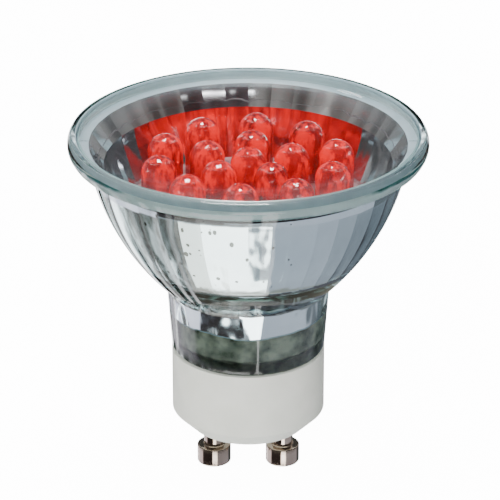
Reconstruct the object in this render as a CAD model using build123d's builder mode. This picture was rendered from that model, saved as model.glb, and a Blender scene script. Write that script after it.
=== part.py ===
from build123d import *
import math
import os

os.makedirs("parts", exist_ok=True)

# Lamp heights in millimetres, from the ends of the contact pins upward
pin_exposed_length = 7.0
base_height = 12.0
reflector_height = 33.0
base_top_z = pin_exposed_length + base_height
rim_front_z = base_top_z + reflector_height

# Rim of the pressed glass reflector
rim_radius = 25.4
rim_thickness = 2.5
rim_overhang = 2.8
rim_edge_chamfer = 0.4
underside_slope_drop = 0.7

# Bowl of the reflector, whose outside is a chain of cones with their edges on one arc
bowl_arc_radius = 36.0
bowl_bands = 4
glass_wall = 1.9
foot_chamfer = 0.9

# Flutes pressed into the inside of the bowl, each a few flats wide with their edges on a shallow curve
flute_count = 40
flute_depth = 0.12
flute_flats = 3
flute_top_depth = 3.2
flute_floor_depth = 18.0
flute_sections = 4

# Seat of the cover glass and the plain band between it and the flutes
rim_wall = 1.25
cover_seat_depth = 1.4
cover_seat_width = 1.7
mouth_cone_height = 3.0
mouth_cone_inset = 0.1

# Neck and the spigot that stands in the ceramic base
neck_height = 9.9
neck_taper = 0.7
neck_step = 0.05
neck_wall = 1.75
neck_foot_thickness = 1.2
neck_foot_rise = 0.8
throat_chamfer = 0.8
spigot_wall = 1.4
spigot_length = 4.5

# Cover glass
cover_clearance = 0.15
cover_thickness = 1.3

# Ceramic base, sized round the contact strips in its pocket
base_wall = 1.6
base_chamfer = 2.5
base_floor_thickness = 3.0
pocket_clearance = 0.34
cement_gap = 0.4

# Contact pins of the twist-lock cap
pin_spacing = 10.0
pin_head_radius = 2.45
pin_head_height = 2.8
pin_head_chamfer = 0.25
pin_neck_radius = 1.5
pin_shank_radius = 1.35
pin_hole_clearance = 0.05
rivet_head_radius = 1.9
rivet_head_height = 0.7

# Bent strips that take the current from the pins to the driver board
strip_thickness = 0.4
strip_width = 3.0
strip_height = 4.0
strip_bend_radius = 0.3
strip_end_margin = 0.2

# Light-emitting diodes in a centre, an inner ring and an outer ring
led_radius = 2.5
led_height = 8.6
led_sides = 16
dome_bands = 3
dome_top_angle = 78.0
led_cover_gap = 1.0
led_ring_phase = 13.0
inner_ring_count = 5
inner_ring_share = 0.492
outer_ring_count = 10
ring_edge_margin = 1.9
lead_side = 0.5
lead_pitch = 2.54
lead_tail = 1.2
lead_hole_clearance = 0.05

# Board that carries the diodes
led_board_thickness = 1.6
led_board_clearance = 0.15

# Driver board, upright between the pins
driver_board_margin = 1.1
driver_board_thickness = 1.6
driver_board_top_gap = 6.0
driver_slot_depth = 1.0
driver_slot_clearance = 0.1

# Parts soldered to the driver board, stacked upward from the strips on each of its faces
part_lead_side = 0.5
part_lead_clearance = 0.05
part_lead_bend = 0.35
part_gap = 0.5
part_standoff = 0.3
film_capacitor_width = 10.0
film_capacitor_height = 10.0
film_capacitor_depth = 5.0
film_capacitor_pitch = 5.0
smoothing_capacitor_radius = 3.0
smoothing_capacitor_height = 11.0
smoothing_capacitor_pitch = 2.5
smoothing_capacitor_standoff = 0.05
rectifier_width = 6.4
rectifier_height = 4.2
rectifier_depth = 2.4
rectifier_leg_reach = 0.5
rectifier_leg_pitch = 2.54
resistor_radius = 1.2
resistor_length = 6.0
resistor_pitch = 9.2

# Square pins from the driver board to the diode board
link_pin_side = 0.64
link_pin_pitch = 7.62
link_pin_overlap = 4.5

# Heights and radii worked out from the sizes above
base_face_z = pin_exposed_length
base_floor_z = base_face_z + base_floor_thickness
rim_back_z = rim_front_z - rim_thickness
bowl_top_z = rim_back_z - underside_slope_drop
neck_top_z = base_top_z + neck_height
spigot_end_z = base_top_z - spigot_length
cover_seat_z = rim_front_z - cover_seat_depth
flute_top_z = rim_front_z - flute_top_depth
flute_floor_z = rim_front_z - flute_floor_depth
bowl_mouth_radius = rim_radius - rim_overhang
cover_seat_radius = rim_radius - rim_wall
mouth_radius = cover_seat_radius - cover_seat_width
strip_reach = pin_spacing / 2 + rivet_head_radius + strip_end_margin
base_pocket_radius = math.hypot(strip_reach, strip_width / 2) + pocket_clearance
spigot_radius = base_pocket_radius + spigot_wall
cup_radius = spigot_radius + cement_gap
base_radius = cup_radius + base_wall
neck_bottom_radius = base_radius - neck_step
neck_top_radius = neck_bottom_radius + neck_taper
neck_bore_radius = neck_top_radius - neck_wall
neck_bore_foot_radius = neck_bottom_radius - neck_wall
neck_ledge_z = base_top_z + neck_foot_thickness
driver_board_width = 2 * (base_pocket_radius - driver_board_margin)
led_board_top_z = cover_seat_z - led_cover_gap - led_height
led_board_bottom_z = led_board_top_z - led_board_thickness
driver_board_bottom_z = base_floor_z - driver_slot_depth
driver_board_top_z = led_board_bottom_z - driver_board_top_gap
driver_face_x = driver_board_thickness / 2
rivet_foot_z = base_floor_z + strip_thickness
rivet_top_z = rivet_foot_z + rivet_head_height
strip_top_z = base_floor_z + strip_height
rectifier_z = strip_top_z + part_gap + rectifier_height / 2
fusible_resistor_z = rectifier_z + rectifier_height / 2 + part_gap + resistor_radius
film_capacitor_bottom_z = fusible_resistor_z + resistor_radius + part_gap
bleed_resistor_z = strip_top_z + part_gap + resistor_radius
smoothing_capacitor_bottom_z = (
    bleed_resistor_z + resistor_radius + part_gap + part_lead_side + part_lead_bend
)


def arc_centre(upper, lower, radius):
    """Centre, as radius and height, of the arc between two outline points that bows outward."""
    span = math.dist(upper, lower)
    outward = ((upper[1] - lower[1]) / span, (lower[0] - upper[0]) / span)
    reach = math.sqrt(radius**2 - (span / 2) ** 2)
    middle = ((upper[0] + lower[0]) / 2, (upper[1] + lower[1]) / 2)
    return middle[0] - outward[0] * reach, middle[1] - outward[1] * reach


bowl_top = (bowl_mouth_radius, bowl_top_z)
bowl_foot = (neck_top_radius, neck_top_z)
bowl_centre = arc_centre(bowl_top, bowl_foot, bowl_arc_radius)


def bowl_radius(z, wall=0.0):
    """Radius of the bowl at a height, inside by a wall measured square to the glass."""
    return bowl_centre[0] + math.sqrt((bowl_arc_radius - wall) ** 2 - (z - bowl_centre[1]) ** 2)


def polar(radius, angle):
    """Point in a plan view at a radius and an angle in degrees."""
    return radius * math.cos(math.radians(angle)), radius * math.sin(math.radians(angle))


# Glass reflector: rim, fluted bowl, neck and spigot, pressed as one piece
bowl_heights = [neck_top_z + (bowl_top_z - neck_top_z) * i / bowl_bands for i in range(bowl_bands + 1)]
flute_angle = 360 / flute_count
flute_top_cusp = bowl_radius(flute_top_z, glass_wall)
flute_heights = [
    flute_floor_z + (flute_top_z - flute_floor_z) * i / (flute_sections - 1)
    for i in range(flute_sections)
]
mouth_foot_z = cover_seat_z - mouth_cone_height
mouth_foot_radius = bowl_radius(mouth_foot_z, glass_wall) - mouth_cone_inset


def flute_outline(z):
    """Plan points of the fluted wall at a height: shallow grooves that meet in cusps."""
    cusp_radius = bowl_radius(z, glass_wall)
    depth = flute_depth * cusp_radius / flute_top_cusp
    shares = [flat / flute_flats for flat in range(flute_flats)]
    return [
        polar(cusp_radius + 4 * depth * share * (1 - share), (flute + share) * flute_angle)
        for flute in range(flute_count)
        for share in shares
    ]


with BuildPart() as glass_reflector:
    with BuildSketch(Plane.XZ):
        with BuildLine():
            Polyline(
                (0, spigot_end_z),
                (spigot_radius, spigot_end_z),
                (spigot_radius, base_top_z),
                (neck_bottom_radius, base_top_z),
                *[(bowl_radius(z), z) for z in bowl_heights],
                (rim_radius, rim_back_z),
                (rim_radius, rim_front_z - rim_edge_chamfer),
                (rim_radius - rim_edge_chamfer, rim_front_z),
                (0, rim_front_z),
                close=True,
            )
        make_face()
    revolve(axis=Axis.Z)
    neck_edge = glass_reflector.edges().filter_by(GeomType.CIRCLE).sort_by(
        lambda edge: math.dist((edge.radius, edge.center().Z), bowl_foot)
    )[0]
    chamfer(neck_edge, length=foot_chamfer)

    # Fluted cavity, lofted through its plan outlines
    for section_z in flute_heights:
        with BuildSketch(Plane.XY.offset(section_z)):
            with BuildLine():
                Polyline(*flute_outline(section_z), close=True)
            make_face()
    loft(ruled=True, mode=Mode.SUBTRACT)

    # Seat for the cover glass, the plain band below it and the bore of the neck
    with BuildSketch(Plane.XZ):
        with BuildLine():
            Polyline(
                (0, rim_front_z),
                (cover_seat_radius, rim_front_z),
                (cover_seat_radius, cover_seat_z),
                (mouth_radius, cover_seat_z),
                (mouth_foot_radius, mouth_foot_z),
                (0, mouth_foot_z),
                close=True,
            )
        make_face()
        with BuildLine():
            Polyline(
                (0, flute_floor_z),
                (neck_bore_radius + throat_chamfer, flute_floor_z),
                (neck_bore_radius, flute_floor_z - throat_chamfer),
                (neck_bore_foot_radius, neck_ledge_z + neck_foot_rise),
                (base_pocket_radius, neck_ledge_z),
                (base_pocket_radius, spigot_end_z),
                (0, spigot_end_z),
                close=True,
            )
        make_face()
    revolve(axis=Axis.Z, mode=Mode.SUBTRACT)
glass_reflector.part.label = "glass_reflector"
export_step(glass_reflector.part, "parts/glass_reflector.step")

# Cover glass, a flat disc on the seat in the rim
with BuildPart() as cover_glass:
    with BuildSketch(Plane.XY.offset(cover_seat_z)):
        Circle(cover_seat_radius - cover_clearance)
    extrude(amount=cover_thickness)
cover_glass.part.label = "cover_glass"
export_step(cover_glass.part, "parts/cover_glass.step")

# Ceramic base: a cup for the spigot, a pocket for the driver board's foot and two holes for the pins
with BuildPart() as ceramic_base:
    with BuildSketch(Plane.XY.offset(base_face_z)):
        Circle(base_radius)
    extrude(amount=base_height)
    chamfer(ceramic_base.edges().group_by(Axis.Z)[0], length=base_chamfer)
    with BuildSketch(Plane.XY.offset(spigot_end_z)):
        Circle(cup_radius)
    extrude(until=Until.LAST, mode=Mode.SUBTRACT)
    with BuildSketch(Plane.XY.offset(base_floor_z)):
        Circle(base_pocket_radius)
    extrude(until=Until.LAST, mode=Mode.SUBTRACT)
    with BuildSketch(Plane.XY.offset(driver_board_bottom_z)):
        Rectangle(
            driver_board_thickness + 2 * driver_slot_clearance,
            driver_board_width + 2 * driver_slot_clearance,
        )
    extrude(amount=driver_slot_depth, mode=Mode.SUBTRACT)
    with BuildSketch(Plane.XY.offset(base_face_z)):
        with GridLocations(pin_spacing, 0, 2, 1):
            Circle(pin_shank_radius + pin_hole_clearance)
    extrude(amount=base_floor_thickness, mode=Mode.SUBTRACT)
ceramic_base.part.label = "ceramic_base"
export_step(ceramic_base.part, "parts/ceramic_base.step")

# Cement that fills the gap between the spigot and the cup
with BuildPart() as base_cement:
    with BuildSketch(Plane.XY.offset(spigot_end_z)):
        Circle(cup_radius)
        Circle(spigot_radius, mode=Mode.SUBTRACT)
    extrude(amount=spigot_length)
base_cement.part.label = "base_cement"
export_step(base_cement.part, "parts/base_cement.step")


def contact_pin(side):
    """Turned pin: a head that locks in the lampholder, a neck, and a shank riveted over inside the base."""
    with BuildPart() as pin:
        with BuildSketch(Plane.XZ):
            with BuildLine():
                Polyline(
                    (0, 0),
                    (pin_head_radius, 0),
                    (pin_head_radius, pin_head_height),
                    (pin_neck_radius, pin_head_height),
                    (pin_neck_radius, base_face_z),
                    (pin_shank_radius, base_face_z),
                    (pin_shank_radius, rivet_foot_z),
                    (rivet_head_radius, rivet_foot_z),
                    (rivet_head_radius, rivet_top_z),
                    (0, rivet_top_z),
                    close=True,
                )
            make_face()
        revolve(axis=Axis.Z)
        chamfer(pin.edges().filter_by(GeomType.CIRCLE).group_by(Axis.Z)[0], length=pin_head_chamfer)
    return Pos(side * pin_spacing / 2, 0, 0) * pin.part


for pin_name, side in (("contact_pin_left", -1), ("contact_pin_right", 1)):
    pin_body = contact_pin(side)
    pin_body.label = pin_name
    export_step(pin_body, f"parts/{pin_name}.step")

# Places of the diodes: a radius and an angle each, all with their leads along the ring
led_board_radius = bowl_radius(led_board_bottom_z, glass_wall) - led_board_clearance
outer_ring_radius = led_board_radius - ring_edge_margin - led_radius
inner_ring_radius = outer_ring_radius * inner_ring_share
led_places = [(0.0, led_ring_phase)]
led_places += [
    (inner_ring_radius, led_ring_phase + i * 360 / inner_ring_count) for i in range(inner_ring_count)
]
led_places += [
    (outer_ring_radius, led_ring_phase + i * 360 / outer_ring_count) for i in range(outer_ring_count)
]

# Board that carries the diodes, wedged on the cusps of the flutes
lead_hole_side = lead_side + 2 * lead_hole_clearance
link_hole_side = link_pin_side + 2 * part_lead_clearance
link_pin_x = -driver_face_x - link_pin_side / 2
with BuildPart() as led_board:
    with BuildSketch(Plane.XY.offset(led_board_bottom_z)):
        Circle(led_board_radius)
        for ring_radius, angle in led_places:
            with Locations(Location((*polar(ring_radius, angle), 0), (0, 0, angle))):
                with GridLocations(0, lead_pitch, 1, 2):
                    Rectangle(lead_hole_side, lead_hole_side, mode=Mode.SUBTRACT)
        with Locations((link_pin_x, 0)):
            with GridLocations(0, link_pin_pitch, 1, 2):
                Rectangle(link_hole_side, link_hole_side, mode=Mode.SUBTRACT)
    extrude(amount=led_board_thickness)
led_board.part.label = "led_board"
export_step(led_board.part, "parts/led_board.step")


# Dome of a diode as rings of a hemisphere, each a radius and a height above the shoulder
dome_angles = [math.radians(dome_top_angle * i / dome_bands) for i in range(dome_bands + 1)]
dome_rings = [(led_radius * math.cos(angle), led_radius * math.sin(angle)) for angle in dome_angles]
dome_shoulder_z = led_height - dome_rings[-1][1]


def diode_lens():
    """Epoxy body of one diode, a prism of many sides under a faceted dome, standing at the origin."""
    flat_share = math.cos(math.pi / led_sides)
    with BuildPart() as lens:
        with BuildSketch(Plane.XY):
            RegularPolygon(led_radius, led_sides)
        extrude(amount=dome_shoulder_z)
        for (lower_radius, lower_z), (upper_radius, upper_z) in zip(dome_rings, dome_rings[1:]):
            band_height = upper_z - lower_z
            draft = math.degrees(math.atan2((lower_radius - upper_radius) * flat_share, band_height))
            with BuildSketch(Plane.XY.offset(dome_shoulder_z + lower_z)):
                RegularPolygon(lower_radius, led_sides)
            extrude(amount=band_height, taper=draft)
    return lens.part


def diode_leads():
    """Two cut leads below the body of one diode, through the board and out of its back."""
    with BuildPart() as leads:
        with BuildSketch(Plane.XY):
            with GridLocations(0, lead_pitch, 1, 2):
                Rectangle(lead_side, lead_side)
        extrude(amount=-(led_board_thickness + lead_tail))
    return leads.part


for number, (ring_radius, angle) in enumerate(led_places, start=1):
    place = Pos(*polar(ring_radius, angle), led_board_top_z) * Rot(0, 0, angle)
    for ending, piece in (("lens", diode_lens()), ("leads", diode_leads())):
        placed = place * piece
        placed.label = f"led_{number:02d}_{ending}"
        export_step(placed, f"parts/{placed.label}.step")


def board_face(side, z):
    """Plane on one face of the driver board at a height, with X across the board and Y upward."""
    return Plane(origin=(side * driver_face_x, 0, z), x_dir=(0, side, 0), z_dir=(side, 0, 0))


def lead_section(side, across):
    """Upright plane through one lead, with X away from the board's face and Y upward."""
    return Plane(origin=(side * driver_face_x, side * across, 0), x_dir=(side, 0, 0), z_dir=(0, -side, 0))


def staple_section(side, z):
    """Level plane through a pair of leads, with X across the board and Y away from its face."""
    return Plane(origin=(side * driver_face_x, 0, z), x_dir=(0, side, 0), z_dir=(0, 0, -1))


def bent_lead(side, across, reach, exit_z, bend_z):
    """Lead that leaves a body at a reach from the board, bends, and ends flush with the board's far face."""
    half = part_lead_side / 2
    toward = math.copysign(half, exit_z - bend_z)
    with BuildPart() as lead:
        with BuildSketch(lead_section(side, across)):
            with BuildLine():
                Polyline(
                    (-driver_board_thickness, bend_z + toward),
                    (reach - half, bend_z + toward),
                    (reach - half, exit_z),
                    (reach + half, exit_z),
                    (reach + half, bend_z - toward),
                    (-driver_board_thickness, bend_z - toward),
                    close=True,
                )
            make_face()
        extrude(amount=half, both=True)
    return lead.part


def staple_lead(side, z, pitch, reach):
    """Pair of leads in line through a body, both bent down through the board to its far face."""
    half = part_lead_side / 2
    with BuildPart() as staple:
        with BuildSketch(staple_section(side, z)):
            with Locations((0, (reach + half - driver_board_thickness) / 2)):
                Rectangle(pitch + 2 * half, reach + half + driver_board_thickness)
            with Locations((0, (reach - half - driver_board_thickness) / 2)):
                Rectangle(pitch - 2 * half, reach - half + driver_board_thickness, mode=Mode.SUBTRACT)
        extrude(amount=half, both=True)
    return staple.part


def resistor(side, z):
    """Axial resistor lying across the board on its two bent leads."""
    reach = part_standoff + resistor_radius
    with BuildPart() as body:
        add(staple_lead(side, z, resistor_pitch, reach))
        axis_plane = Plane(
            origin=(side * (driver_face_x + reach), -resistor_length / 2, z), x_dir=(1, 0, 0), z_dir=(0, 1, 0)
        )
        with BuildSketch(axis_plane):
            Circle(resistor_radius)
        extrude(amount=resistor_length)
    return body.part


# Driver board, standing in the slot of the base, with a hole for each lead
film_capacitor_lead_z = film_capacitor_bottom_z + film_capacitor_height + part_lead_bend + part_lead_side / 2
smoothing_capacitor_lead_z = smoothing_capacitor_bottom_z - part_lead_bend - part_lead_side / 2
rectifier_pitch = rectifier_width + 2 * rectifier_leg_reach
lead_pairs = [
    (film_capacitor_lead_z, film_capacitor_pitch),
    (smoothing_capacitor_lead_z, smoothing_capacitor_pitch),
    (fusible_resistor_z, resistor_pitch),
    (bleed_resistor_z, resistor_pitch),
    (rectifier_z - rectifier_leg_pitch / 2, rectifier_pitch),
    (rectifier_z + rectifier_leg_pitch / 2, rectifier_pitch),
]
part_hole_side = part_lead_side + 2 * part_lead_clearance
with BuildPart() as driver_board:
    with BuildSketch(board_face(1, 0)):
        with Locations((0, (driver_board_bottom_z + driver_board_top_z) / 2)):
            Rectangle(driver_board_width, driver_board_top_z - driver_board_bottom_z)
        for pair_z, pitch in lead_pairs:
            with Locations((0, pair_z)):
                with GridLocations(pitch, 0, 2, 1):
                    Rectangle(part_hole_side, part_hole_side, mode=Mode.SUBTRACT)
    extrude(amount=-driver_board_thickness)
driver_board.part.label = "driver_board"
export_step(driver_board.part, "parts/driver_board.step")

# Film capacitor that drops the mains voltage, laid flat with its leads bent over at the top
with BuildPart() as film_capacitor:
    with BuildSketch(board_face(1, film_capacitor_bottom_z + film_capacitor_height / 2)):
        Rectangle(film_capacitor_width, film_capacitor_height)
    extrude(amount=film_capacitor_depth)
    for across in (-film_capacitor_pitch / 2, film_capacitor_pitch / 2):
        add(
            bent_lead(
                1,
                across,
                film_capacitor_depth / 2,
                film_capacitor_bottom_z + film_capacitor_height,
                film_capacitor_lead_z,
            )
        )
film_capacitor.part.label = "film_capacitor"
export_step(film_capacitor.part, "parts/film_capacitor.step")

# Smoothing capacitor, a can laid along the other face with its leads bent over at the bottom
smoothing_capacitor_reach = smoothing_capacitor_standoff + smoothing_capacitor_radius
with BuildPart() as smoothing_capacitor:
    with BuildSketch(Plane.XY.offset(smoothing_capacitor_bottom_z)):
        with Locations((-driver_face_x - smoothing_capacitor_reach, 0)):
            Circle(smoothing_capacitor_radius)
    extrude(amount=smoothing_capacitor_height)
    for across in (-smoothing_capacitor_pitch / 2, smoothing_capacitor_pitch / 2):
        add(
            bent_lead(
                -1,
                across,
                smoothing_capacitor_reach,
                smoothing_capacitor_bottom_z,
                smoothing_capacitor_lead_z,
            )
        )
smoothing_capacitor.part.label = "smoothing_capacitor"
export_step(smoothing_capacitor.part, "parts/smoothing_capacitor.step")

# Bridge rectifier on four legs
with BuildPart() as bridge_rectifier:
    with BuildSketch(board_face(1, rectifier_z).offset(part_standoff)):
        Rectangle(rectifier_width, rectifier_height)
    extrude(amount=rectifier_depth)
    for leg_offset in (-rectifier_leg_pitch / 2, rectifier_leg_pitch / 2):
        add(staple_lead(1, rectifier_z + leg_offset, rectifier_pitch, part_standoff + rectifier_depth / 2))
bridge_rectifier.part.label = "bridge_rectifier"
export_step(bridge_rectifier.part, "parts/bridge_rectifier.step")

# Fusible resistor on the capacitor's face and bleed resistor on the other
for resistor_name, side, resistor_z in (
    ("fusible_resistor", 1, fusible_resistor_z),
    ("bleed_resistor", -1, bleed_resistor_z),
):
    resistor_body = resistor(side, resistor_z)
    resistor_body.label = resistor_name
    export_step(resistor_body, f"parts/{resistor_name}.step")


# Contact strips, each clamped under the rivet head of a pin and soldered upright to the driver board
with BuildPart() as right_strip:
    with BuildSketch(Plane.XZ) as strip_section:
        with BuildLine():
            Polyline(
                (driver_face_x, base_floor_z),
                (strip_reach, base_floor_z),
                (strip_reach, rivet_foot_z),
                (driver_face_x + strip_thickness, rivet_foot_z),
                (driver_face_x + strip_thickness, strip_top_z),
                (driver_face_x, strip_top_z),
                close=True,
            )
        make_face()
        inner_corner = (driver_face_x + strip_thickness, 0, rivet_foot_z)
        outer_corner = (driver_face_x, 0, base_floor_z)
        fillet(strip_section.vertices().sort_by_distance(inner_corner)[0], radius=strip_bend_radius)
        fillet(
            strip_section.vertices().sort_by_distance(outer_corner)[0],
            radius=strip_bend_radius + strip_thickness,
        )
    extrude(amount=strip_width / 2, both=True)
    with BuildSketch(Plane.XY.offset(base_floor_z)):
        with Locations((pin_spacing / 2, 0)):
            Circle(pin_shank_radius + pin_hole_clearance)
    extrude(amount=strip_thickness, mode=Mode.SUBTRACT)

for strip_name, strip_body in (
    ("contact_strip_right", right_strip.part),
    ("contact_strip_left", mirror(right_strip.part, about=Plane.YZ)),
):
    strip_body.label = strip_name
    export_step(strip_body, f"parts/{strip_name}.step")


def link_pin(across):
    """Square pin soldered along the driver board's face, its end flush with the top of the diode board."""
    bottom_z = driver_board_top_z - link_pin_overlap
    with BuildPart() as pin:
        with BuildSketch(Plane.XY.offset(bottom_z)):
            with Locations((link_pin_x, across)):
                Rectangle(link_pin_side, link_pin_side)
        extrude(amount=led_board_top_z - bottom_z)
    return pin.part


for link_name, side in (("link_pin_front", -1), ("link_pin_back", 1)):
    link_body = link_pin(side * link_pin_pitch / 2)
    link_body.label = link_name
    export_step(link_body, f"parts/{link_name}.step")
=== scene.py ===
import math

import bmesh
import bpy
import numpy as np
from mathutils import Matrix, Vector, noise


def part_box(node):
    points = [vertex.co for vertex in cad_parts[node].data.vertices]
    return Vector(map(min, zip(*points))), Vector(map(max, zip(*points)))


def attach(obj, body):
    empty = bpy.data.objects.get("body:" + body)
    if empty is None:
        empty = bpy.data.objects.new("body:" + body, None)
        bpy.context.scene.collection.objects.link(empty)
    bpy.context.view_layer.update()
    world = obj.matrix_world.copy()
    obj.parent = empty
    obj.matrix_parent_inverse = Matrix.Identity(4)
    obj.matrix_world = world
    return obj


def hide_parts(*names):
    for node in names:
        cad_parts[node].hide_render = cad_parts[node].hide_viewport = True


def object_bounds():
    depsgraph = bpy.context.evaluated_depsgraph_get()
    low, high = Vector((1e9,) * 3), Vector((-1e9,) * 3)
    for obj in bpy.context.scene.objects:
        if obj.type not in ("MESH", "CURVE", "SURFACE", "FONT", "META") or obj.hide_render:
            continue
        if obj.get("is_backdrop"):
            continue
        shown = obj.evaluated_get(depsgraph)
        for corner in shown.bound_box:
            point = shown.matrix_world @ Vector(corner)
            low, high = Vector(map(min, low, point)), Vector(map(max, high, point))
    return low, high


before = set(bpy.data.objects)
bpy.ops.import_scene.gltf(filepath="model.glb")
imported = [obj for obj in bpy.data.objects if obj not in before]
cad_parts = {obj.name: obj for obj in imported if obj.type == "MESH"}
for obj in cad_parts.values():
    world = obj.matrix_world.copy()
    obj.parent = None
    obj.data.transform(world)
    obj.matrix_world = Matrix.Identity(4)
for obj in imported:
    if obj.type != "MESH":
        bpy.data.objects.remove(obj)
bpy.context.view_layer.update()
MM = 0.001

# Sizes in millimetres, as in the CAD source
RIM_R = 25.4
RIM_CORNER_R = 24.95
RIM_FRONT_Z = 52.0
RIM_BACK_Z = 49.5
SEAT_R = 24.15
SEAT_Z = 50.6
MOUTH_R = 22.45
MOUTH_FOOT_Z = 47.6
BOWL_TOP = (22.6, 48.8)
NECK_TOP = (11.65, 28.9)
NECK_BOTTOM = (10.95, 19.0)
BOWL_ARC_R = 36.0
WALL = 1.9
FLUTES = 40
FLUTE_STEPS = 9
FLUTE_CROWN = -0.0016
FLUTE_ROWS_TOP_Z = 46.6
MOUTH_BOW = 0.05
COAT_GAP_Z = 48.35
FLOOR_Z = 34.0
THROAT_R = 10.7
BORE_TOP = (9.9, 33.2)
BORE_FOOT = (9.2, 21.0)
LEDGE = (7.6, 20.2)
BORE_END = (7.6, 14.5)
SPIGOT_R = 9.0
SPIGOT_END_Z = 14.5
COAT_END_Z = 24.9
FILM_TOP_Z = 22.9
SPECK_CENTRE = (-6.5, -18.0, 42.0)
COVER_THICKNESS = 1.3
COVER_GAP = 0.15
LED_R = 2.5
LED_SHOULDER = 6.1
LED_RING_PHASE = 13.0
PIN_X = 5.0
PIN_HEAD_R = 2.45
PIN_HEAD_Z = 2.8
PIN_NECK_R = 1.5
PIN_SHANK_R = 1.35
PIN_SHOULDER_Z = 7.0
RIVET_R = 1.9
RIVET_Z = 10.4
RIVET_TOP_Z = 11.1


def arc_centre(upper, lower, radius):
    span = math.dist(upper, lower)
    out = ((upper[1] - lower[1]) / span, (lower[0] - upper[0]) / span)
    reach = math.sqrt(radius**2 - (span / 2) ** 2)
    return (upper[0] + lower[0]) / 2 - out[0] * reach, (upper[1] + lower[1]) / 2 - out[1] * reach


BOWL_C = arc_centre(BOWL_TOP, NECK_TOP, BOWL_ARC_R)


def bowl_r(z, wall=0.0):
    return BOWL_C[0] + np.sqrt((BOWL_ARC_R - wall) ** 2 - (z - BOWL_C[1]) ** 2)


# Materials


def material(name):
    m = bpy.data.materials.new(name)
    m.use_nodes = True
    nodes, links = m.node_tree.nodes, m.node_tree.links
    return m, nodes, links, nodes["Principled BSDF"]


def noise_ramp(nodes, links, scale, low, high, detail=3.0, stops=(0.35, 0.65), stretch=None):
    """Colour that varies softly between two colours over the object."""
    coord = nodes.new("ShaderNodeTexCoord")
    tex = nodes.new("ShaderNodeTexNoise")
    tex.inputs["Scale"].default_value = scale
    tex.inputs["Detail"].default_value = detail
    if stretch:
        mapping = nodes.new("ShaderNodeMapping")
        mapping.inputs["Scale"].default_value = stretch
        links.new(coord.outputs["Object"], mapping.inputs["Vector"])
        links.new(mapping.outputs["Vector"], tex.inputs["Vector"])
    else:
        links.new(coord.outputs["Object"], tex.inputs["Vector"])
    ramp = nodes.new("ShaderNodeValToRGB")
    ramp.color_ramp.elements[0].position = stops[0]
    ramp.color_ramp.elements[1].position = stops[1]
    ramp.color_ramp.elements[0].color = (*low, 1)
    ramp.color_ramp.elements[1].color = (*high, 1)
    links.new(tex.outputs["Fac"], ramp.inputs["Fac"])
    return tex, ramp


def bump(nodes, links, bsdf, height, strength, distance):
    node = nodes.new("ShaderNodeBump")
    node.inputs["Strength"].default_value = strength
    node.inputs["Distance"].default_value = distance
    links.new(height, node.inputs["Height"])
    links.new(node.outputs["Normal"], bsdf.inputs["Normal"])


def clear_glass():
    m, nodes, links, bsdf = material("reflector_glass")
    _, ramp = noise_ramp(nodes, links, 60.0, (0.93, 0.975, 0.965), (0.97, 0.99, 0.985))
    links.new(ramp.outputs["Color"], bsdf.inputs["Base Color"])
    bsdf.inputs["Transmission Weight"].default_value = 1.0
    bsdf.inputs["Roughness"].default_value = 0.02
    bsdf.inputs["IOR"].default_value = 1.5
    tex, _ = noise_ramp(nodes, links, 160.0, (0, 0, 0), (1, 1, 1), detail=1.0)
    bump(nodes, links, bsdf, tex.outputs["Fac"], 0.12, 0.0004)
    absorb = nodes.new("ShaderNodeVolumeAbsorption")
    absorb.inputs["Color"].default_value = (0.50, 0.86, 0.86, 1)
    absorb.inputs["Density"].default_value = 65.0
    links.new(absorb.outputs["Volume"], nodes["Material Output"].inputs["Volume"])
    return m


def satin_glass():
    """Ground band of the mouth, where the cover glass is cemented."""
    m, nodes, links, bsdf = material("satin_glass")
    tex, ramp = noise_ramp(nodes, links, 200.0, (0.31, 0.43, 0.48), (0.37, 0.49, 0.54))
    links.new(ramp.outputs["Color"], bsdf.inputs["Base Color"])
    bsdf.inputs["Roughness"].default_value = 0.45
    bsdf.inputs["Transmission Weight"].default_value = 0.15
    bump(nodes, links, bsdf, tex.outputs["Fac"], 0.1, 0.0002)
    return m


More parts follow.
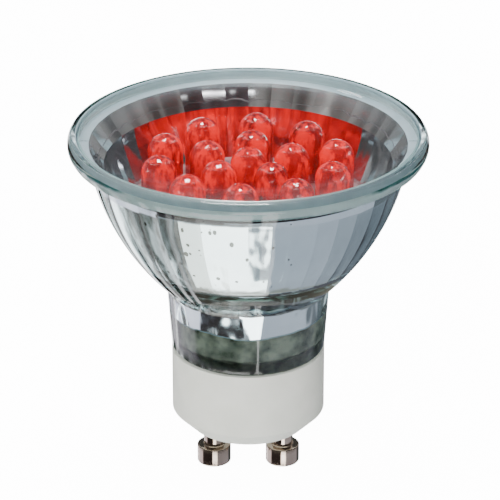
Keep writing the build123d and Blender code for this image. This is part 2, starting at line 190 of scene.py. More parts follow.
def mirror_coat(name, speck_size, ripple_scale, ripple, depth=0.0004):
    """Aluminium coat with dark specks, most of them round SPECK_CENTRE."""
    m, nodes, links, bsdf = material(name)
    _, ramp = noise_ramp(nodes, links, 90.0, (0.74, 0.76, 0.79), (0.84, 0.85, 0.87))
    coord = nodes.new("ShaderNodeTexCoord")
    cells = nodes.new("ShaderNodeTexVoronoi")
    cells.inputs["Scale"].default_value = 900.0
    squeeze = nodes.new("ShaderNodeMapping")
    squeeze.inputs["Scale"].default_value = (1.0, 1.0, 0.6)
    links.new(coord.outputs["Object"], squeeze.inputs["Vector"])
    links.new(squeeze.outputs["Vector"], cells.inputs["Vector"])
    _, patch_ramp = noise_ramp(nodes, links, 330.0, (0, 0, 0), (1, 1, 1), stops=(0.40, 0.55))
    size = nodes.new("ShaderNodeMath")
    size.operation = "MULTIPLY"
    size.inputs[1].default_value = speck_size
    reach = nodes.new("ShaderNodeVectorMath")
    reach.operation = "DISTANCE"
    reach.inputs[1].default_value = [v * MM for v in SPECK_CENTRE]
    links.new(coord.outputs["Object"], reach.inputs[0])
    fade = nodes.new("ShaderNodeMapRange")
    fade.inputs["From Min"].default_value = 6 * MM
    fade.inputs["From Max"].default_value = 15 * MM
    fade.inputs["To Min"].default_value = 1.0
    fade.inputs["To Max"].default_value = 0.1
    links.new(reach.outputs["Value"], fade.inputs["Value"])
    spread = nodes.new("ShaderNodeMath")
    spread.operation = "MULTIPLY"
    links.new(patch_ramp.outputs["Color"], spread.inputs[0])
    links.new(fade.outputs["Result"], spread.inputs[1])
    links.new(spread.outputs["Value"], size.inputs[0])
    speck = nodes.new("ShaderNodeMath")
    speck.operation = "LESS_THAN"
    links.new(cells.outputs["Distance"], speck.inputs[0])
    links.new(size.outputs["Value"], speck.inputs[1])
    mix = nodes.new("ShaderNodeMix")
    mix.data_type = "RGBA"
    links.new(speck.outputs["Value"], mix.inputs[0])
    links.new(ramp.outputs["Color"], mix.inputs[6])
    mix.inputs[7].default_value = (0.10, 0.10, 0.09, 1)
    links.new(mix.outputs[2], bsdf.inputs["Base Color"])
    bsdf.inputs["Metallic"].default_value = 1.0
    bsdf.inputs["Roughness"].default_value = 0.05
    tex, _ = noise_ramp(
        nodes, links, ripple_scale, (0, 0, 0), (1, 1, 1), detail=2.0, stretch=(1.0, 1.0, 0.45)
    )
    bump(nodes, links, bsdf, tex.outputs["Fac"], ripple, depth)
    return m


def mouth_coat():
    """Coated mouth: a mirror from the inside; teal from the outside, with fine rings from dark teal to near
    white as painted dark lines and painted highlight lines.
    """
    m, nodes, links, bsdf = material("mouth_coat")
    _, shine = noise_ramp(nodes, links, 90.0, (0.74, 0.76, 0.79), (0.84, 0.85, 0.87))
    coord = nodes.new("ShaderNodeTexCoord")
    # Painted light and shade: rings of dark teal and near white along Z stand in for the rim's dark lines and
    # highlight lines
    rings = nodes.new("ShaderNodeTexWave")
    rings.bands_direction = "Z"
    rings.inputs["Scale"].default_value = 420.0
    rings.inputs["Distortion"].default_value = 0.8
    links.new(coord.outputs["Object"], rings.inputs["Vector"])
    painted_line_tones = nodes.new("ShaderNodeValToRGB")
    painted_line_tones.color_ramp.elements[0].position = 0.25
    painted_line_tones.color_ramp.elements[0].color = (0.07, 0.22, 0.22, 1)
    painted_line_tones.color_ramp.elements[1].position = 0.75
    painted_line_tones.color_ramp.elements[1].color = (0.86, 0.93, 0.92, 1)
    links.new(rings.outputs["Fac"], painted_line_tones.inputs["Fac"])
    side = nodes.new("ShaderNodeNewGeometry")
    mix = nodes.new("ShaderNodeMix")
    mix.data_type = "RGBA"
    links.new(side.outputs["Backfacing"], mix.inputs[0])
    links.new(shine.outputs["Color"], mix.inputs[6])
    links.new(painted_line_tones.outputs["Color"], mix.inputs[7])
    links.new(mix.outputs[2], bsdf.inputs["Base Color"])
    metal = nodes.new("ShaderNodeMath")
    metal.operation = "SUBTRACT"
    metal.inputs[0].default_value = 1.0
    links.new(side.outputs["Backfacing"], metal.inputs[1])
    links.new(metal.outputs["Value"], bsdf.inputs["Metallic"])
    bsdf.inputs["Roughness"].default_value = 0.06
    return m


def cover_material():
    """Clear disc: almost unseen from above, a sheen at a flat angle."""
    m, nodes, links, bsdf = material("cover_glass")
    weight = nodes.new("ShaderNodeLayerWeight")
    weight.inputs["Blend"].default_value = 0.5
    power = nodes.new("ShaderNodeMath")
    power.operation = "POWER"
    power.inputs[1].default_value = 5.0
    gain = nodes.new("ShaderNodeMath")
    gain.operation = "MULTIPLY_ADD"
    gain.inputs[1].default_value = 0.5
    gain.inputs[2].default_value = 0.012
    links.new(weight.outputs["Facing"], power.inputs[0])
    links.new(power.outputs["Value"], gain.inputs[0])
    links.new(gain.outputs["Value"], bsdf.inputs["Alpha"])
    _, ramp = noise_ramp(nodes, links, 40.0, (0.90, 0.94, 0.94), (0.97, 0.98, 0.98))
    links.new(ramp.outputs["Color"], bsdf.inputs["Base Color"])
    bsdf.inputs["Metallic"].default_value = 1.0
    bsdf.inputs["Roughness"].default_value = 0.04
    return m


def cover_edge_material():
    m, nodes, links, bsdf = material("cover_glass_edge")
    _, ramp = noise_ramp(nodes, links, 120.0, (0.16, 0.26, 0.26), (0.26, 0.38, 0.38))
    links.new(ramp.outputs["Color"], bsdf.inputs["Base Color"])
    bsdf.inputs["Roughness"].default_value = 0.25
    bsdf.inputs["Transmission Weight"].default_value = 0.3
    return m


def ceramic():
    m, nodes, links, bsdf = material("ceramic")
    _, ramp = noise_ramp(nodes, links, 260.0, (0.72, 0.735, 0.66), (0.78, 0.79, 0.72), detail=5.0)
    links.new(ramp.outputs["Color"], bsdf.inputs["Base Color"])
    bsdf.inputs["Roughness"].default_value = 0.5
    bsdf.inputs["Specular IOR Level"].default_value = 0.35
    tex, _ = noise_ramp(nodes, links, 900.0, (0, 0, 0), (1, 1, 1), detail=6.0)
    bump(nodes, links, bsdf, tex.outputs["Fac"], 0.25, 0.0002)
    return m


def turned_metal(name, low, high, roughness):
    """Metal turned on a lathe, with fine rings round the Z axis."""
    m, nodes, links, bsdf = material(name)
    _, ramp = noise_ramp(nodes, links, 300.0, low, high, stretch=(1.0, 1.0, 0.4))
    links.new(ramp.outputs["Color"], bsdf.inputs["Base Color"])
    bsdf.inputs["Metallic"].default_value = 1.0
    bsdf.inputs["Roughness"].default_value = roughness
    coord = nodes.new("ShaderNodeTexCoord")
    wave = nodes.new("ShaderNodeTexWave")
    wave.bands_direction = "Z"
    wave.inputs["Scale"].default_value = 1400.0
    wave.inputs["Distortion"].default_value = 0.6
    links.new(coord.outputs["Object"], wave.inputs["Vector"])
    bump(nodes, links, bsdf, wave.outputs["Fac"], 0.06, 0.00004)
    return m


def red_epoxy():
    """Clear red epoxy with a painted glow, full toward the dome top and fading low on the body as painted shade.
    """
    m, nodes, links, bsdf = material("red_epoxy")
    _, tint = noise_ramp(nodes, links, 420.0, (0.42, 0.004, 0.006), (0.72, 0.010, 0.012), detail=2.0)
    links.new(tint.outputs["Color"], bsdf.inputs["Base Color"])
    # Painted glow: red emission that stands in for the light the lenses show
    _, painted_glow = noise_ramp(
        nodes,
        links,
        900.0,
        (0.04, 0.0, 0.001),
        (1.0, 0.004, 0.005),
        detail=4.0,
        stops=(0.44, 0.58),
        stretch=(1.0, 1.0, 0.4),
    )
    coord = nodes.new("ShaderNodeTexCoord")
    split = nodes.new("ShaderNodeSeparateXYZ")
    links.new(coord.outputs["Object"], split.inputs["Vector"])
    # Painted shade: the glow drops from full 8 mm up the body to a tenth at 3.5 mm and below, fading to dark red
    painted_shade_by_height = nodes.new("ShaderNodeMapRange")
    painted_shade_by_height.inputs["From Min"].default_value = 3.5 * MM
    painted_shade_by_height.inputs["From Max"].default_value = 8.0 * MM
    painted_shade_by_height.inputs["To Min"].default_value = 0.10
    painted_shade_by_height.inputs["To Max"].default_value = 1.0
    links.new(split.outputs["Z"], painted_shade_by_height.inputs["Value"])
    fade = nodes.new("ShaderNodeMix")
    fade.data_type = "RGBA"
    fade.inputs[6].default_value = (0.04, 0.0, 0.0, 1)
    links.new(painted_shade_by_height.outputs["Result"], fade.inputs[0])
    links.new(painted_glow.outputs["Color"], fade.inputs[7])
    links.new(fade.outputs[2], bsdf.inputs["Emission Color"])
    bsdf.inputs["Emission Strength"].default_value = 1.0
    bsdf.inputs["Transmission Weight"].default_value = 0.85
    bsdf.inputs["Roughness"].default_value = 0.05
    bsdf.inputs["IOR"].default_value = 1.5
    tex, _ = noise_ramp(nodes, links, 800.0, (0, 0, 0), (1, 1, 1), detail=2.0)
    bump(nodes, links, bsdf, tex.outputs["Fac"], 0.5, 0.0003)
    return m


def plain_finish(name, low, high, roughness, metallic=0.0, scale=300.0, bump_strength=0.15):
    """Opaque finish with a slightly uneven colour and surface."""
    m, nodes, links, bsdf = material(name)
    tex, ramp = noise_ramp(nodes, links, scale, low, high, detail=4.0)
    links.new(ramp.outputs["Color"], bsdf.inputs["Base Color"])
    bsdf.inputs["Roughness"].default_value = roughness
    bsdf.inputs["Metallic"].default_value = metallic
    bump(nodes, links, bsdf, tex.outputs["Fac"], bump_strength, 0.0001)
    return m


GLASS = clear_glass()
SATIN = satin_glass()
MOUTH_COAT = mouth_coat()
MIRROR = mirror_coat("mirror_coat", 0.30, 260.0, 0.10)
NECK_MIRROR = mirror_coat("neck_coat", 0.0, 150.0, 0.55, 0.002)
COVER = cover_material()
COVER_EDGE = cover_edge_material()
CERAMIC = ceramic()
NICKEL = turned_metal("pin_nickel", (0.32, 0.26, 0.21), (0.46, 0.38, 0.31), 0.11)
BRASS = turned_metal("strip_brass", (0.55, 0.38, 0.14), (0.70, 0.50, 0.22), 0.3)
EPOXY = red_epoxy()
TIN = plain_finish("lead_tin", (0.55, 0.55, 0.56), (0.72, 0.72, 0.73), 0.25, metallic=1.0)
CEMENT = plain_finish("cement", (0.50, 0.49, 0.44), (0.66, 0.65, 0.60), 0.85, scale=900.0, bump_strength=0.5)
LAMINATE = plain_finish("board_laminate", (0.10, 0.16, 0.07), (0.18, 0.26, 0.12), 0.45, scale=500.0)
DIODE_BOARD = plain_finish("diode_board", (0.16, 0.035, 0.035), (0.34, 0.10, 0.10), 0.4, scale=700.0)
CEMENT_FILM = plain_finish(
    "cement_film", (0.07, 0.09, 0.06), (0.46, 0.49, 0.40), 0.6, scale=420.0, bump_strength=0.5
)
COAT_EDGE = plain_finish("coat_edge", (0.05, 0.05, 0.055), (0.09, 0.085, 0.09), 0.4, scale=500.0)
CASE_YELLOW = plain_finish("capacitor_case", (0.16, 0.17, 0.11), (0.25, 0.26, 0.17), 0.35)
CAN = plain_finish("capacitor_can", (0.18, 0.20, 0.18), (0.32, 0.34, 0.31), 0.3)
CASE_BLACK = plain_finish("rectifier_case", (0.02, 0.02, 0.02), (0.04, 0.04, 0.04), 0.4)
RESISTOR = plain_finish("resistor_body", (0.30, 0.44, 0.52), (0.40, 0.54, 0.62), 0.4)


# Meshes


def mesh_object(name, verts, faces, mats, face_mats=None):
    mesh = bpy.data.meshes.new(name)
    mesh.from_pydata([tuple(v) for v in verts], [], faces)
    for m in mats:
        mesh.materials.append(m)
    if face_mats is not None:
        mesh.polygons.foreach_set("material_index", np.array(face_mats, np.int32))
    mesh.polygons.foreach_set("use_smooth", [True] * len(mesh.polygons))
    mesh.update()
    obj = bpy.data.objects.new(name, mesh)
    bpy.context.scene.collection.objects.link(obj)
    return obj


def sharp_by_angle(obj, degrees):
    """Splits the shading where neighbouring faces turn by more than an angle."""
    mesh = obj.data
    bm = bmesh.new()
    bm.from_mesh(mesh)
    limit = math.radians(degrees)
    for e in bm.edges:
        if len(e.link_faces) == 2 and e.calc_face_angle(0.0) > limit:
            e.smooth = False
    bm.to_mesh(mesh)
    bm.free()


def round_corner(before, corner, after, radius, count=5):
    """Points of an arc that rounds the corner between two straight runs of a profile."""
    a, b, c = (np.array(p, float) for p in (before, corner, after))
    u, v = (a - b) / np.linalg.norm(a - b), (c - b) / np.linalg.norm(c - b)
    half = math.acos(max(-1.0, min(1.0, float(u @ v)))) / 2
    reach = radius / math.tan(half)
    centre = b + (u + v) / np.linalg.norm(u + v) * radius / math.sin(half)
    start, end = b + u * reach - centre, b + v * reach - centre
    points = []
    for i in range(count + 1):
        t = i / count
        d = start * (1 - t) + end * t
        points.append(tuple(centre + d / np.linalg.norm(d) * radius))
    return points


def revolved(name, profile, sides, mats, bands=None):
    """Mesh of a profile of (r, z) points turned round Z. bands gives each row's material."""
    angles = np.arange(sides) * 2 * math.pi / sides
    verts, rows = [], []
    for r, z in profile:
        if r < 1e-6:
            rows.append([len(verts)] * sides)
            verts.append((0, 0, z * MM))
        else:
            rows.append(list(range(len(verts), len(verts) + sides)))
            verts += [(r * math.cos(a) * MM, r * math.sin(a) * MM, z * MM) for a in angles]
    faces, face_mats = [], []
    for k in range(len(rows) - 1):
        low, high = rows[k], rows[k + 1]
        for i in range(sides):
            j = (i + 1) % sides
            quad = [low[i], low[j], high[j], high[i]]
            face = [v for n, v in enumerate(quad) if v not in quad[:n]]
            if len(face) > 2:
                faces.append(face)
                face_mats.append(bands[k] if bands else 0)
    return mesh_object(name, verts, faces, mats, face_mats)


def flute_share(angle):
    """Place across its own flute of an angle round the axis, from 0 to 1."""
    return (angle * FLUTES / (2 * math.pi)) % 1.0


def crowned(r, angle):
    """Radius r with the slight crown of the facets."""
    share = flute_share(angle)
    return r * (1 + 4 * FLUTE_CROWN * share * (1 - share))


def flute_r(z, angle):
    """Radius of the fluted wall at a height and an angle: almost flat facets that meet in cusps."""
    return crowned(bowl_r(z, WALL), angle)


def mouth_r(z, angle):
    """Radius of the flared mouth between the flutes and the seat, a little bowed."""
    foot = bowl_r(MOUTH_FOOT_Z, WALL) - 0.1
    t = (z - MOUTH_FOOT_Z) / (SEAT_Z - MOUTH_FOOT_Z)
    return crowned(foot + (MOUTH_R - foot) * t + 4 * MOUTH_BOW * t * (1 - t), angle)


def line_r(foot, top, z):
    """Radius at height z on the straight line through two (r, z) points."""
    return foot[0] + (top[0] - foot[0]) * (z - foot[1]) / (top[1] - foot[1])


def wave_round(angle, seed, turns):
    """Smooth irregular wave round the axis, from about -1 to 1."""
    return noise.noise(Vector((math.cos(angle) * turns, math.sin(angle) * turns, seed)))


# Materials of the reflector by their places in its mesh
REFLECTOR_MATS = (GLASS, MIRROR, SATIN, COAT_EDGE, NECK_MIRROR, CEMENT_FILM, MOUTH_COAT)
CLEAR, COATED, GROUND, COAT_GAP, NECK_COATED, FILM, MOUTH_COATED = range(len(REFLECTOR_MATS))


def make_reflector():
    sides = FLUTES * FLUTE_STEPS
    angles = np.arange(sides) * 2 * math.pi / sides
    rows, kinds = [], []

    def ring(r, z, kind):
        # kind is the material of the faces from this ring to the next
        rows.append((np.broadcast_to(r, sides).astype(float), np.broadcast_to(z, sides).astype(float)))
        kinds.append(kind)

    # Outside, from the spigot up to the rim
    ring(SPIGOT_R, SPIGOT_END_Z, FILM)
    ring(SPIGOT_R, NECK_BOTTOM[1], FILM)
    for r, z in round_corner((SPIGOT_R, NECK_BOTTOM[1]), NECK_BOTTOM, NECK_TOP, 0.9, 6):
        ring(r, z, CLEAR)
    for z in (22.0, 25.0):
        ring(line_r(NECK_BOTTOM, NECK_TOP, z), z, CLEAR)
    bowl_foot_z, bowl_end_z = NECK_TOP[1] + 1.6, BOWL_TOP[1] - 0.5
    for r, z in round_corner(NECK_BOTTOM, NECK_TOP, (float(bowl_r(bowl_foot_z)), bowl_foot_z), 1.2, 6):
        ring(r, z, CLEAR)
    for z in np.linspace(bowl_foot_z, bowl_end_z, 22):
        ring(bowl_r(z), z, CLEAR)
    before = (float(bowl_r(bowl_end_z)), bowl_end_z)
    for r, z in round_corner(before, BOWL_TOP, (RIM_CORNER_R, RIM_BACK_Z), 0.35, 4):
        ring(r, z, CLEAR)
    side = []
    for i in range(9):
        t = i / 8
        bulge = 1 - (2 * t - 1) ** 2
        height = RIM_BACK_Z + (RIM_FRONT_Z - RIM_BACK_Z) * t
        side.append((RIM_CORNER_R + (RIM_R - RIM_CORNER_R) * bulge, height))
    for r, z in round_corner(BOWL_TOP, side[0], side[1], 0.25, 4):
        ring(r, z, CLEAR)
    for r, z in side[2:-2]:
        ring(r, z, CLEAR)
    for r, z in round_corner(side[-2], side[-1], (SEAT_R, RIM_FRONT_Z), 0.28, 5):
        ring(r, z, CLEAR)

    # Seat of the cover glass
    for r, z in round_corner(side[-1], (SEAT_R, RIM_FRONT_Z), (SEAT_R, SEAT_Z), 0.12, 3):
        ring(r, z, GROUND)
    ring(SEAT_R, SEAT_Z + 0.05, GROUND)
    ring(SEAT_R - 0.05, SEAT_Z, GROUND)
    ring(MOUTH_R + 0.1, SEAT_Z, GROUND)

    # Coated wall, facets from the seat down, with an uneven dark gap in the coat
    share = flute_share(angles)
    arch = np.array([wave_round(a, 5.3, 5.0) + 0.5 * wave_round(a, 8.8, 17.0) for a in angles])
    gap_z = COAT_GAP_Z + 0.5 * np.sqrt(share * (1 - share)) + 0.3 * arch
    gap_width = 0.04 + 0.5 * np.maximum(0.0, np.array([wave_round(a, 2.2, 3.0) for a in angles]))
    first_flute_row = len(rows)
    for z in (SEAT_Z - 0.08, 50.1, 49.7, 49.3):
        ring(mouth_r(z, angles), z, MOUTH_COATED)
    ring(mouth_r(gap_z, angles), gap_z, COAT_GAP)
    for t in (0.0, 0.5, 1.0):
        z = (gap_z - gap_width) * (1 - t) + MOUTH_FOOT_Z * t
        ring(mouth_r(z, angles), z, COATED)
    for z in np.linspace(FLUTE_ROWS_TOP_Z, FLOOR_Z + 0.3, 20):
        ring(flute_r(z, angles), z, COATED)
    last_flute_row = len(rows) - 1
    cusp = float(bowl_r(FLOOR_Z, WALL))
    ring(cusp - 0.1, FLOOR_Z + 0.05, COATED)
    ring(cusp - 0.5, FLOOR_Z, COATED)
    ring((cusp + THROAT_R) / 2, FLOOR_Z, COATED)
    ring(THROAT_R, FLOOR_Z, COATED)
    ring(BORE_TOP[0], BORE_TOP[1], NECK_COATED)

    # Bore, whose coat ends in a wavy line above the base
    wave = np.array([0.55 * wave_round(a, 3.7, 1.6) + 0.12 * wave_round(a, 9.1, 9.0) for a in angles])
    edge = COAT_END_Z + wave
    for t in (0.25, 0.5, 0.75):
        z = BORE_TOP[1] + (edge - BORE_TOP[1]) * t
        ring(line_r(BORE_FOOT, BORE_TOP, z), z, NECK_COATED)
    ring(line_r(BORE_FOOT, BORE_TOP, edge), edge, GROUND)
    ring(line_r(BORE_FOOT, BORE_TOP, edge - 0.2), edge - 0.2, FILM)
    wave = np.array([wave_round(a, 6.4, 2.5) + 0.5 * wave_round(a, 1.3, 12.0) for a in angles])
    film = FILM_TOP_Z + 0.8 * wave
    ring(line_r(BORE_FOOT, BORE_TOP, film), film, FILM)
    for r, z in round_corner(BORE_TOP, BORE_FOOT, LEDGE, 0.4, 4):
        ring(r, z, FILM)
    for r, z in round_corner(BORE_FOOT, LEDGE, BORE_END, 0.3, 3):
        ring(r, z, FILM)
    ring(BORE_END[0], BORE_END[1], FILM)

    verts = [
        (r * math.cos(a) * MM, r * math.sin(a) * MM, z * MM)
        for rs, zs in rows
        for r, z, a in zip(rs, zs, angles)
    ]
    faces, face_mats = [], []
    for k in range(len(rows)):
        n = (k + 1) % len(rows)
        for i in range(sides):
            j = (i + 1) % sides
            faces.append((k * sides + i, k * sides + j, n * sides + j, n * sides + i))
            face_mats.append(kinds[k])
    obj = mesh_object("reflector", verts, faces, REFLECTOR_MATS, face_mats)
    sharp_by_angle(obj, 28)
    for e in obj.data.edges:
        a, b = sorted(e.vertices)
        on_cusp = a % sides == b % sides and a % sides % FLUTE_STEPS == 0
        if on_cusp and first_flute_row <= a // sides < last_flute_row:
            e.use_edge_sharp = True
    return obj


def make_cover():
    low, high, r = SEAT_Z, SEAT_Z + COVER_THICKNESS, SEAT_R - COVER_GAP
    profile = [(0, low), (12, low), (r - 0.2, low), (r, low + 0.2)]
    profile += [(r, high - 0.3), (r - 0.3, high), (12, high), (0, high)]
    return revolved("cover_disc", profile, 128, [COVER, COVER_EDGE], bands=[0, 0, 1, 1, 1, 0, 0])


def make_pin(name, x):
    head_foot, head_top = (PIN_HEAD_R, 0), (PIN_HEAD_R, PIN_HEAD_Z)
    rivet_foot, rivet_top = (RIVET_R, RIVET_Z), (RIVET_R, RIVET_TOP_Z)
    profile = [(0, 0)]
    profile += round_corner((0, 0), head_foot, head_top, 0.3, 5)
    profile += round_corner(head_foot, head_top, (PIN_NECK_R, PIN_HEAD_Z), 0.12, 3)
    profile += [(PIN_NECK_R + 0.12, PIN_HEAD_Z), (PIN_NECK_R, PIN_HEAD_Z + 0.12)]
    profile += [(PIN_NECK_R, PIN_SHOULDER_Z), (PIN_SHANK_R, PIN_SHOULDER_Z)]
    profile += [(PIN_SHANK_R, RIVET_Z), rivet_foot]
    profile += round_corner(rivet_foot, rivet_top, (0, RIVET_TOP_Z), 0.2, 3)
    profile += [(0, RIVET_TOP_Z)]
    obj = revolved(name, profile, 64, [NICKEL])
    sharp_by_angle(obj, 40)
    obj.data.transform(Matrix.Translation((x * MM, 0, 0)))
    return obj


def diode_mesh():
    """Epoxy body: cylinder and dome."""
    profile = [(0, 0), (LED_R, 0), (LED_R, LED_SHOULDER)]
    for i in range(1, 13):
        a = math.pi / 2 * i / 12
        profile.append((LED_R * math.cos(a), LED_SHOULDER + LED_R * math.sin(a)))
    profile[-1] = (0, LED_SHOULDER + LED_R)
    obj = revolved("diode_pattern", profile, 40, [EPOXY])
    sharp_by_angle(obj, 50)
    return obj


def diode_frame_mesh():
    """Lead frame inside a diode: a post with a cup and a thinner post beside it."""
    bm = bmesh.new()

    def block(x0, x1, y0, y1, z0, z1):
        low, high = Vector((x0, y0, z0)) * MM, Vector((x1, y1, z1)) * MM
        made = bmesh.ops.create_cube(bm, size=1.0)["verts"]
        for v in made:
            v.co = Vector((low[k] + (v.co[k] + 0.5) * (high[k] - low[k]) for k in range(3)))

    block(-0.25, 0.25, -1.5, -0.9, 0.4, 4.2)
    block(-0.25, 0.25, 1.0, 1.5, 0.4, 3.6)
    block(-0.25, 0.25, 0.2, 1.3, 3.0, 3.6)
    block(-0.55, 0.55, -1.5, -0.1, 3.4, 4.2)
    bmesh.ops.bevel(bm, geom=list(bm.edges), offset=0.06 * MM, segments=1, affect="EDGES")
    mesh = bpy.data.meshes.new("diode_frame_pattern")
    bm.to_mesh(mesh)
    bm.free()
    mesh.materials.append(TIN)
    return mesh


reflector = make_reflector()
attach(reflector, "root")
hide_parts("glass_reflector")

cover = make_cover()
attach(cover, "root")
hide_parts("cover_glass")

for pin_name, x in (("pin_left", -PIN_X), ("pin_right", PIN_X)):
    pin = make_pin(pin_name, x)
    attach(pin, "root")
    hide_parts(f"contact_{pin_name}")

pattern = diode_mesh()
lens_mesh = pattern.data
bpy.data.objects.remove(pattern)
frame_mesh = diode_frame_mesh()
for number in range(1, 17):
    low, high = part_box(f"led_{number:02d}_lens")
    centre = (low + high) / 2
    off_centre = centre.xy.length > 1 * MM
    turn = math.atan2(centre.y, centre.x) if off_centre else math.radians(LED_RING_PHASE)
    for kind, mesh, slot_name in (("body", lens_mesh, "diode_epoxy"), ("frame", frame_mesh, "lead_tin")):
        piece = bpy.data.objects.new(f"led_{number:02d}_{kind}", mesh)
        bpy.context.scene.collection.objects.link(piece)
        piece.matrix_world = Matrix.Translation((centre.x, centre.y, low.z)) @ Matrix.Rotation(turn, 4, "Z")
        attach(piece, "root")
        if kind == "body":
            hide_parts(f"led_{number:02d}_lens")

# CAD nodes that stay get their finish
FINISH = {
    "ceramic_base": CERAMIC,
    "base_cement": CEMENT,
    "contact_strip_left": BRASS,
    "contact_strip_right": BRASS,
    "led_board": DIODE_BOARD,
    "driver_board": LAMINATE,
    "film_capacitor": CASE_YELLOW,
    "smoothing_capacitor": CAN,
    "bridge_rectifier": CASE_BLACK,
    "fusible_resistor": RESISTOR,
    "bleed_resistor": RESISTOR,
    "link_pin_front": TIN,
    "link_pin_back": TIN,
}
for node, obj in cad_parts.items():
    finish = FINISH.get(node, TIN)
    obj.data.materials.clear()
    obj.data.materials.append(finish)

# Stage, light and camera

FLOOR_REACH = 20.0
FLOOR_GLOW = 14.0
LIGHT_AIM = (0, 0, 0.03)

floor_mat, nodes, links, bsdf = material("floor")
_, ramp = noise_ramp(nodes, links, 3.0, (0.90, 0.90, 0.90), (0.93, 0.93, 0.93))
links.new(ramp.outputs["Color"], bsdf.inputs["Base Color"])
links.new(ramp.outputs["Color"], bsdf.inputs["Emission Color"])
bsdf.inputs["Emission Strength"].default_value = FLOOR_GLOW
bsdf.inputs["Roughness"].default_value = 0.9
bsdf.inputs["Specular IOR Level"].default_value = 0.1


def sheet(name, width, depth, mat):
    """Flat rectangle round its own origin, facing up."""
    x, y = width / 2, depth / 2
    return mesh_object(name, [(-x, -y, 0), (x, -y, 0), (x, y, 0), (-x, y, 0)], [(0, 1, 2, 3)], [mat])


# The floor shows as white as the photo's background and stays out of the reflections
floor = sheet("floor", 2 * FLOOR_REACH, 2 * FLOOR_REACH, floor_mat)
floor.visible_glossy = False
floor.visible_transmission = False
floor.visible_diffuse = False
floor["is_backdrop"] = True


def card(name, centre, size, facing, strength):
    """Studio card that only shows in reflections."""
    m, _, _, bsdf = material(name)
    bsdf.inputs["Base Color"].default_value = (0, 0, 0, 1)
    bsdf.inputs["Specular IOR Level"].default_value = 0.0
    bsdf.inputs["Emission Color"].default_value = (1, 1, 1, 1)
    bsdf.inputs["Emission Strength"].default_value = strength
    obj = sheet(name, *size, m)
    look = (Vector(facing) - Vector(centre)).to_track_quat("Z", "Y")
    obj.matrix_world = Matrix.Translation(centre) @ look.to_matrix().to_4x4()
    obj.visible_camera = False
    obj.visible_diffuse = False
    obj.visible_shadow = False
    obj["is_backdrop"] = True


card("spark_card", (-0.03, 0.10, 0.75), (0.2, 0.2), (0, 0, 0.05), 110.0)


def area_light(name, location, size, power):
    """Soft square light that the mirrors don't show."""
    data = bpy.data.lights.new(name, "AREA")
    data.shape = "RECTANGLE"
    data.size, data.size_y = size, size
    data.energy = power
    obj = bpy.data.objects.new(name, data)
    bpy.context.scene.collection.objects.link(obj)
    obj.location = location
    obj.rotation_mode = "QUATERNION"
    obj.rotation_quaternion = (Vector(LIGHT_AIM) - Vector(location)).to_track_quat("-Z", "Y")
    obj.visible_glossy = False
    obj.visible_transmission = False


area_light("key", (-0.15, -0.6, 0.35), 0.5, 7.0)
area_light("top", (0.0, 0.15, 0.9), 0.7, 6.0)
area_light("side_left", (-0.7, 0.1, 0.3), 0.5, 2.5)
area_light("side_right", (0.7, 0.1, 0.3), 0.5, 2.0)
area_light("back", (0.0, 0.7, 0.4), 0.5, 4.0)

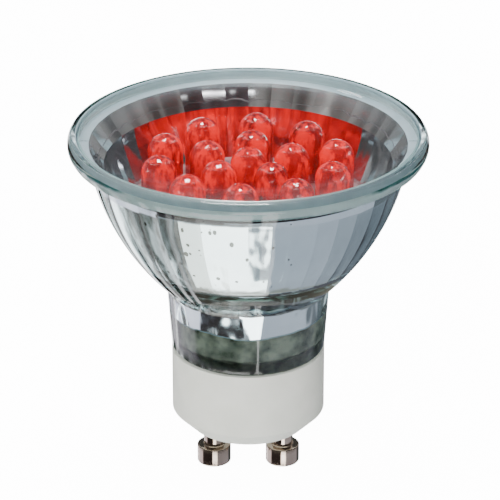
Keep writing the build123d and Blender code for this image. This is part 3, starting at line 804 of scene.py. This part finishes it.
# The studio stands still. It is laid out by what the mirrors show along MAIN_VIEW: each patch of light is placed
# by the way that a mirror faces to send it there. That is its turn from the front, positive to the right, and
# its tilt upward, in degrees.
MAIN_VIEW = (0.0, 0.9085, -0.4179)
STUDIO_BASE = (0.19, 0.185, 0.175)
STUDIO = (
    # Turn from and to, tilt from and to, softness, colour. A later patch lies over an earlier one.
    # Sky, and the dark above the cover glass
    (-400, 400, 46, 100, 4, (0.62, 0.66, 0.72)),
    (-400, 400, 78, 100, 4, (0.10, 0.11, 0.11)),
    # Inner wall: dark zone, light pillar and four small windows
    (-2.7, 26, 6, 48, 0.6, (0.065, 0.055, 0.060)),
    (-37, -31, 6, 48, 1, (0.55, 0.55, 0.52)),
    (9.5, 17, 36.2, 36.7, 0.3, (9.0, 9.0, 9.0)),
    (23.0, 24.0, 36.2, 36.7, 0.3, (6.0, 6.0, 6.0)),
    (4.8, 5.6, 36.1, 36.5, 0.3, (2.5, 2.5, 2.5)),
    (-3.2, -2.0, 36.3, 36.8, 0.3, (8.0, 8.0, 8.0)),
    # Outside: grey all round, blue-grey to the right, light from both sides
    (-400, 400, -100, 0, 2, (0.50, 0.52, 0.56)),
    (90, 400, -100, 6, 3, (0.30, 0.38, 0.38)),
    (-400, -90, -100, 6, 3, (0.36, 0.43, 0.43)),
    (10, 90, -100, 0, 0.6, (0.62, 0.66, 0.77)),
    (46, 95, -100, 0, 26, (0.11, 0.14, 0.165)),
    (-120, -88, 4, 40, 3, (2.4, 2.5, 2.6)),
    (88, 120, 4, 40, 3, (1.6, 1.7, 1.8)),
    # Neck and pins, left side
    (-90, -40, -9, 4, 3.5, (1.75, 1.66, 1.90)),
    (-90, -73, -9, 4, 3.5, (0.32, 0.31, 0.34)),
    (-66, -63, -9, 4, 1, (5.0, 5.0, 5.2)),
    # Bowl: white window with its grey strips, and the olive band at its foot
    (-28, 10, -38, -8, 0.5, (5.5, 5.6, 5.5)),
    (-28, -19, -38, -8, 0.5, (3.0, 3.0, 2.8)),
    (-19, -15, -38, -22, 0.5, (3.6, 3.6, 3.4)),
    (1.2, 4.6, -32, -8, 0.4, (0.42, 0.46, 0.53)),
    (-31.5, -28, -15, -8, 0.5, (0.05, 0.05, 0.05)),
    (-90, 90, -41, -36, 1, (0.34, 0.34, 0.28)),
    # Neck and pins, right side, dark patch and white stripe
    (11, 60, -9, 4, 2, (0.70, 0.72, 0.84)),
    (56, 95, -9, 4, 3.9, (0.14, 0.16, 0.18)),
    (-41, -5, -7, 4, 2, (0.055, 0.045, 0.048)),
    (-5, 11, -4.2, 4, 1.5, (8.0, 8.0, 8.0)),
    (6, 8, -9, -4.2, 0.3, (8.0, 8.0, 8.0)),
    # Thin lines of light along the rim
    (-75, 75, 48, 50, 3, (7.0, 7.4, 7.3)),
    (-75, 75, -53, -50, 3, (6.0, 7.0, 7.0)),
)
STREAKS = (-95, -28, -45, -8)
INNER_WALL = (6, 46)
# Softness of a patch's upper and lower edge, unless the whole patch is as soft as WIDE or softer
TILT_SOFTNESS = 0.4
WIDE = 4
WOBBLE = 2.5

world = bpy.data.worlds.new("studio")
bpy.context.scene.world = world
world.use_nodes = True
nodes, links = world.node_tree.nodes, world.node_tree.links


def math_node(operation, *values):
    """Math node on numbers or sockets."""
    node = nodes.new("ShaderNodeMath")
    node.operation = operation
    for socket, value in zip(node.inputs, values):
        if isinstance(value, (int, float)):
            socket.default_value = value
        else:
            links.new(value, socket)
    return node.outputs["Value"]


def step_up(value, place, softness):
    """0 below a place and 1 above it, with a soft step."""
    node = nodes.new("ShaderNodeMapRange")
    node.interpolation_type = "SMOOTHSTEP"
    links.new(value, node.inputs["Value"])
    node.inputs["From Min"].default_value = place - softness
    node.inputs["From Max"].default_value = place + softness
    return node.outputs["Result"]


def between(value, low, high, softness):
    return math_node("SUBTRACT", step_up(value, low, softness), step_up(value, high, softness))


def mixed(mask, below, above):
    """Colour below where the mask is 0 and above where it is 1."""
    node = nodes.new("ShaderNodeMix")
    node.data_type = "RGBA"
    links.new(mask, node.inputs[0])
    for socket, value in ((node.inputs[6], below), (node.inputs[7], above)):
        if isinstance(value, tuple):
            socket.default_value = (*value, 1)
        else:
            links.new(value, socket)
    return node.outputs[2]


def noise_along(value):
    """Smooth noise along one value."""
    node = nodes.new("ShaderNodeTexNoise")
    node.noise_dimensions = "1D"
    node.inputs["Scale"].default_value = 1.0
    node.inputs["Detail"].default_value = 0.0
    links.new(value, node.inputs["W"])
    return node.outputs["Fac"]


coord = nodes.new("ShaderNodeTexCoord")
facing = nodes.new("ShaderNodeVectorMath")
facing.operation = "SUBTRACT"
facing.inputs[1].default_value = MAIN_VIEW
links.new(coord.outputs["Generated"], facing.inputs[0])
unit = nodes.new("ShaderNodeVectorMath")
unit.operation = "NORMALIZE"
links.new(facing.outputs["Vector"], unit.inputs[0])
split = nodes.new("ShaderNodeSeparateXYZ")
links.new(unit.outputs["Vector"], split.inputs["Vector"])
ripple = nodes.new("ShaderNodeTexNoise")
ripple.inputs["Scale"].default_value = 7.0
ripple.inputs["Detail"].default_value = 3.0
links.new(coord.outputs["Generated"], ripple.inputs["Vector"])
wobble = math_node("MULTIPLY", math_node("SUBTRACT", ripple.outputs["Fac"], 0.5), WOBBLE)
turned = math_node("ARCTAN2", split.outputs["X"], math_node("MULTIPLY", split.outputs["Y"], -1.0))
turned = math_node("MULTIPLY", turned, 180 / math.pi)
tilted = math_node("MULTIPLY", math_node("ARCSINE", split.outputs["Z"]), 180 / math.pi)
turn = math_node("ADD", turned, wobble)
tilt = math_node("ADD", tilted, math_node("MULTIPLY", wobble, 0.5))
colour = STUDIO_BASE
for left, right, low, high, softness, shade in STUDIO:
    edge = TILT_SOFTNESS if softness < WIDE else softness
    mask = math_node("MULTIPLY", between(turn, left, right, softness), between(tilt, low, high, edge))
    colour = mixed(mask, colour, shade)

# Left side of the bowl: dark and bright streaks
tones = nodes.new("ShaderNodeValToRGB")
tones.color_ramp.elements[0].position = 0.36
tones.color_ramp.elements[0].color = (0.02, 0.02, 0.018, 1)
tones.color_ramp.elements[1].position = 0.62
tones.color_ramp.elements[1].color = (4.2, 4.3, 4.4, 1)
middle = tones.color_ramp.elements.new(0.47)
middle.color = (0.24, 0.24, 0.22, 1)
links.new(noise_along(math_node("MULTIPLY", turned, 0.16)), tones.inputs["Fac"])
left, right, low, high = STREAKS
mask = math_node("MULTIPLY", between(turn, left, right, 0.6), between(tilt, low, high, 1))
colour = mixed(mask, colour, tones.outputs["Color"])

# Inner wall: each flute a little lighter or darker than the next
inner = noise_along(math_node("ADD", math_node("MULTIPLY", turned, 0.23), 7.3))
shade = nodes.new("ShaderNodeMapRange")
shade.inputs["From Min"].default_value = 0.3
shade.inputs["From Max"].default_value = 0.7
shade.inputs["To Min"].default_value = 0.35
shade.inputs["To Max"].default_value = 1.75
links.new(inner, shade.inputs["Value"])
toned = nodes.new("ShaderNodeVectorMath")
toned.operation = "SCALE"
links.new(colour, toned.inputs[0])
links.new(shade.outputs["Result"], toned.inputs["Scale"])
colour = mixed(between(tilt, *INNER_WALL, 2), colour, toned.outputs["Vector"])
links.new(colour, nodes["Background"].inputs["Color"])
nodes["Background"].inputs["Strength"].default_value = 1.0

# Camera at the photograph's place
camera_data = bpy.data.cameras.new("camera")
camera_data.sensor_width = 36.0
camera_data.lens = 231.2
camera_data.shift_x = 0.0034
camera_data.clip_start, camera_data.clip_end = 0.01, 20.0
camera = bpy.data.objects.new("camera", camera_data)
bpy.context.scene.collection.objects.link(camera)
camera.location = (0.0, -0.41545, 0.22493)
camera.rotation_euler = (math.radians(65.3), 0, 0)
bpy.context.scene.camera = camera

low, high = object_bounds()
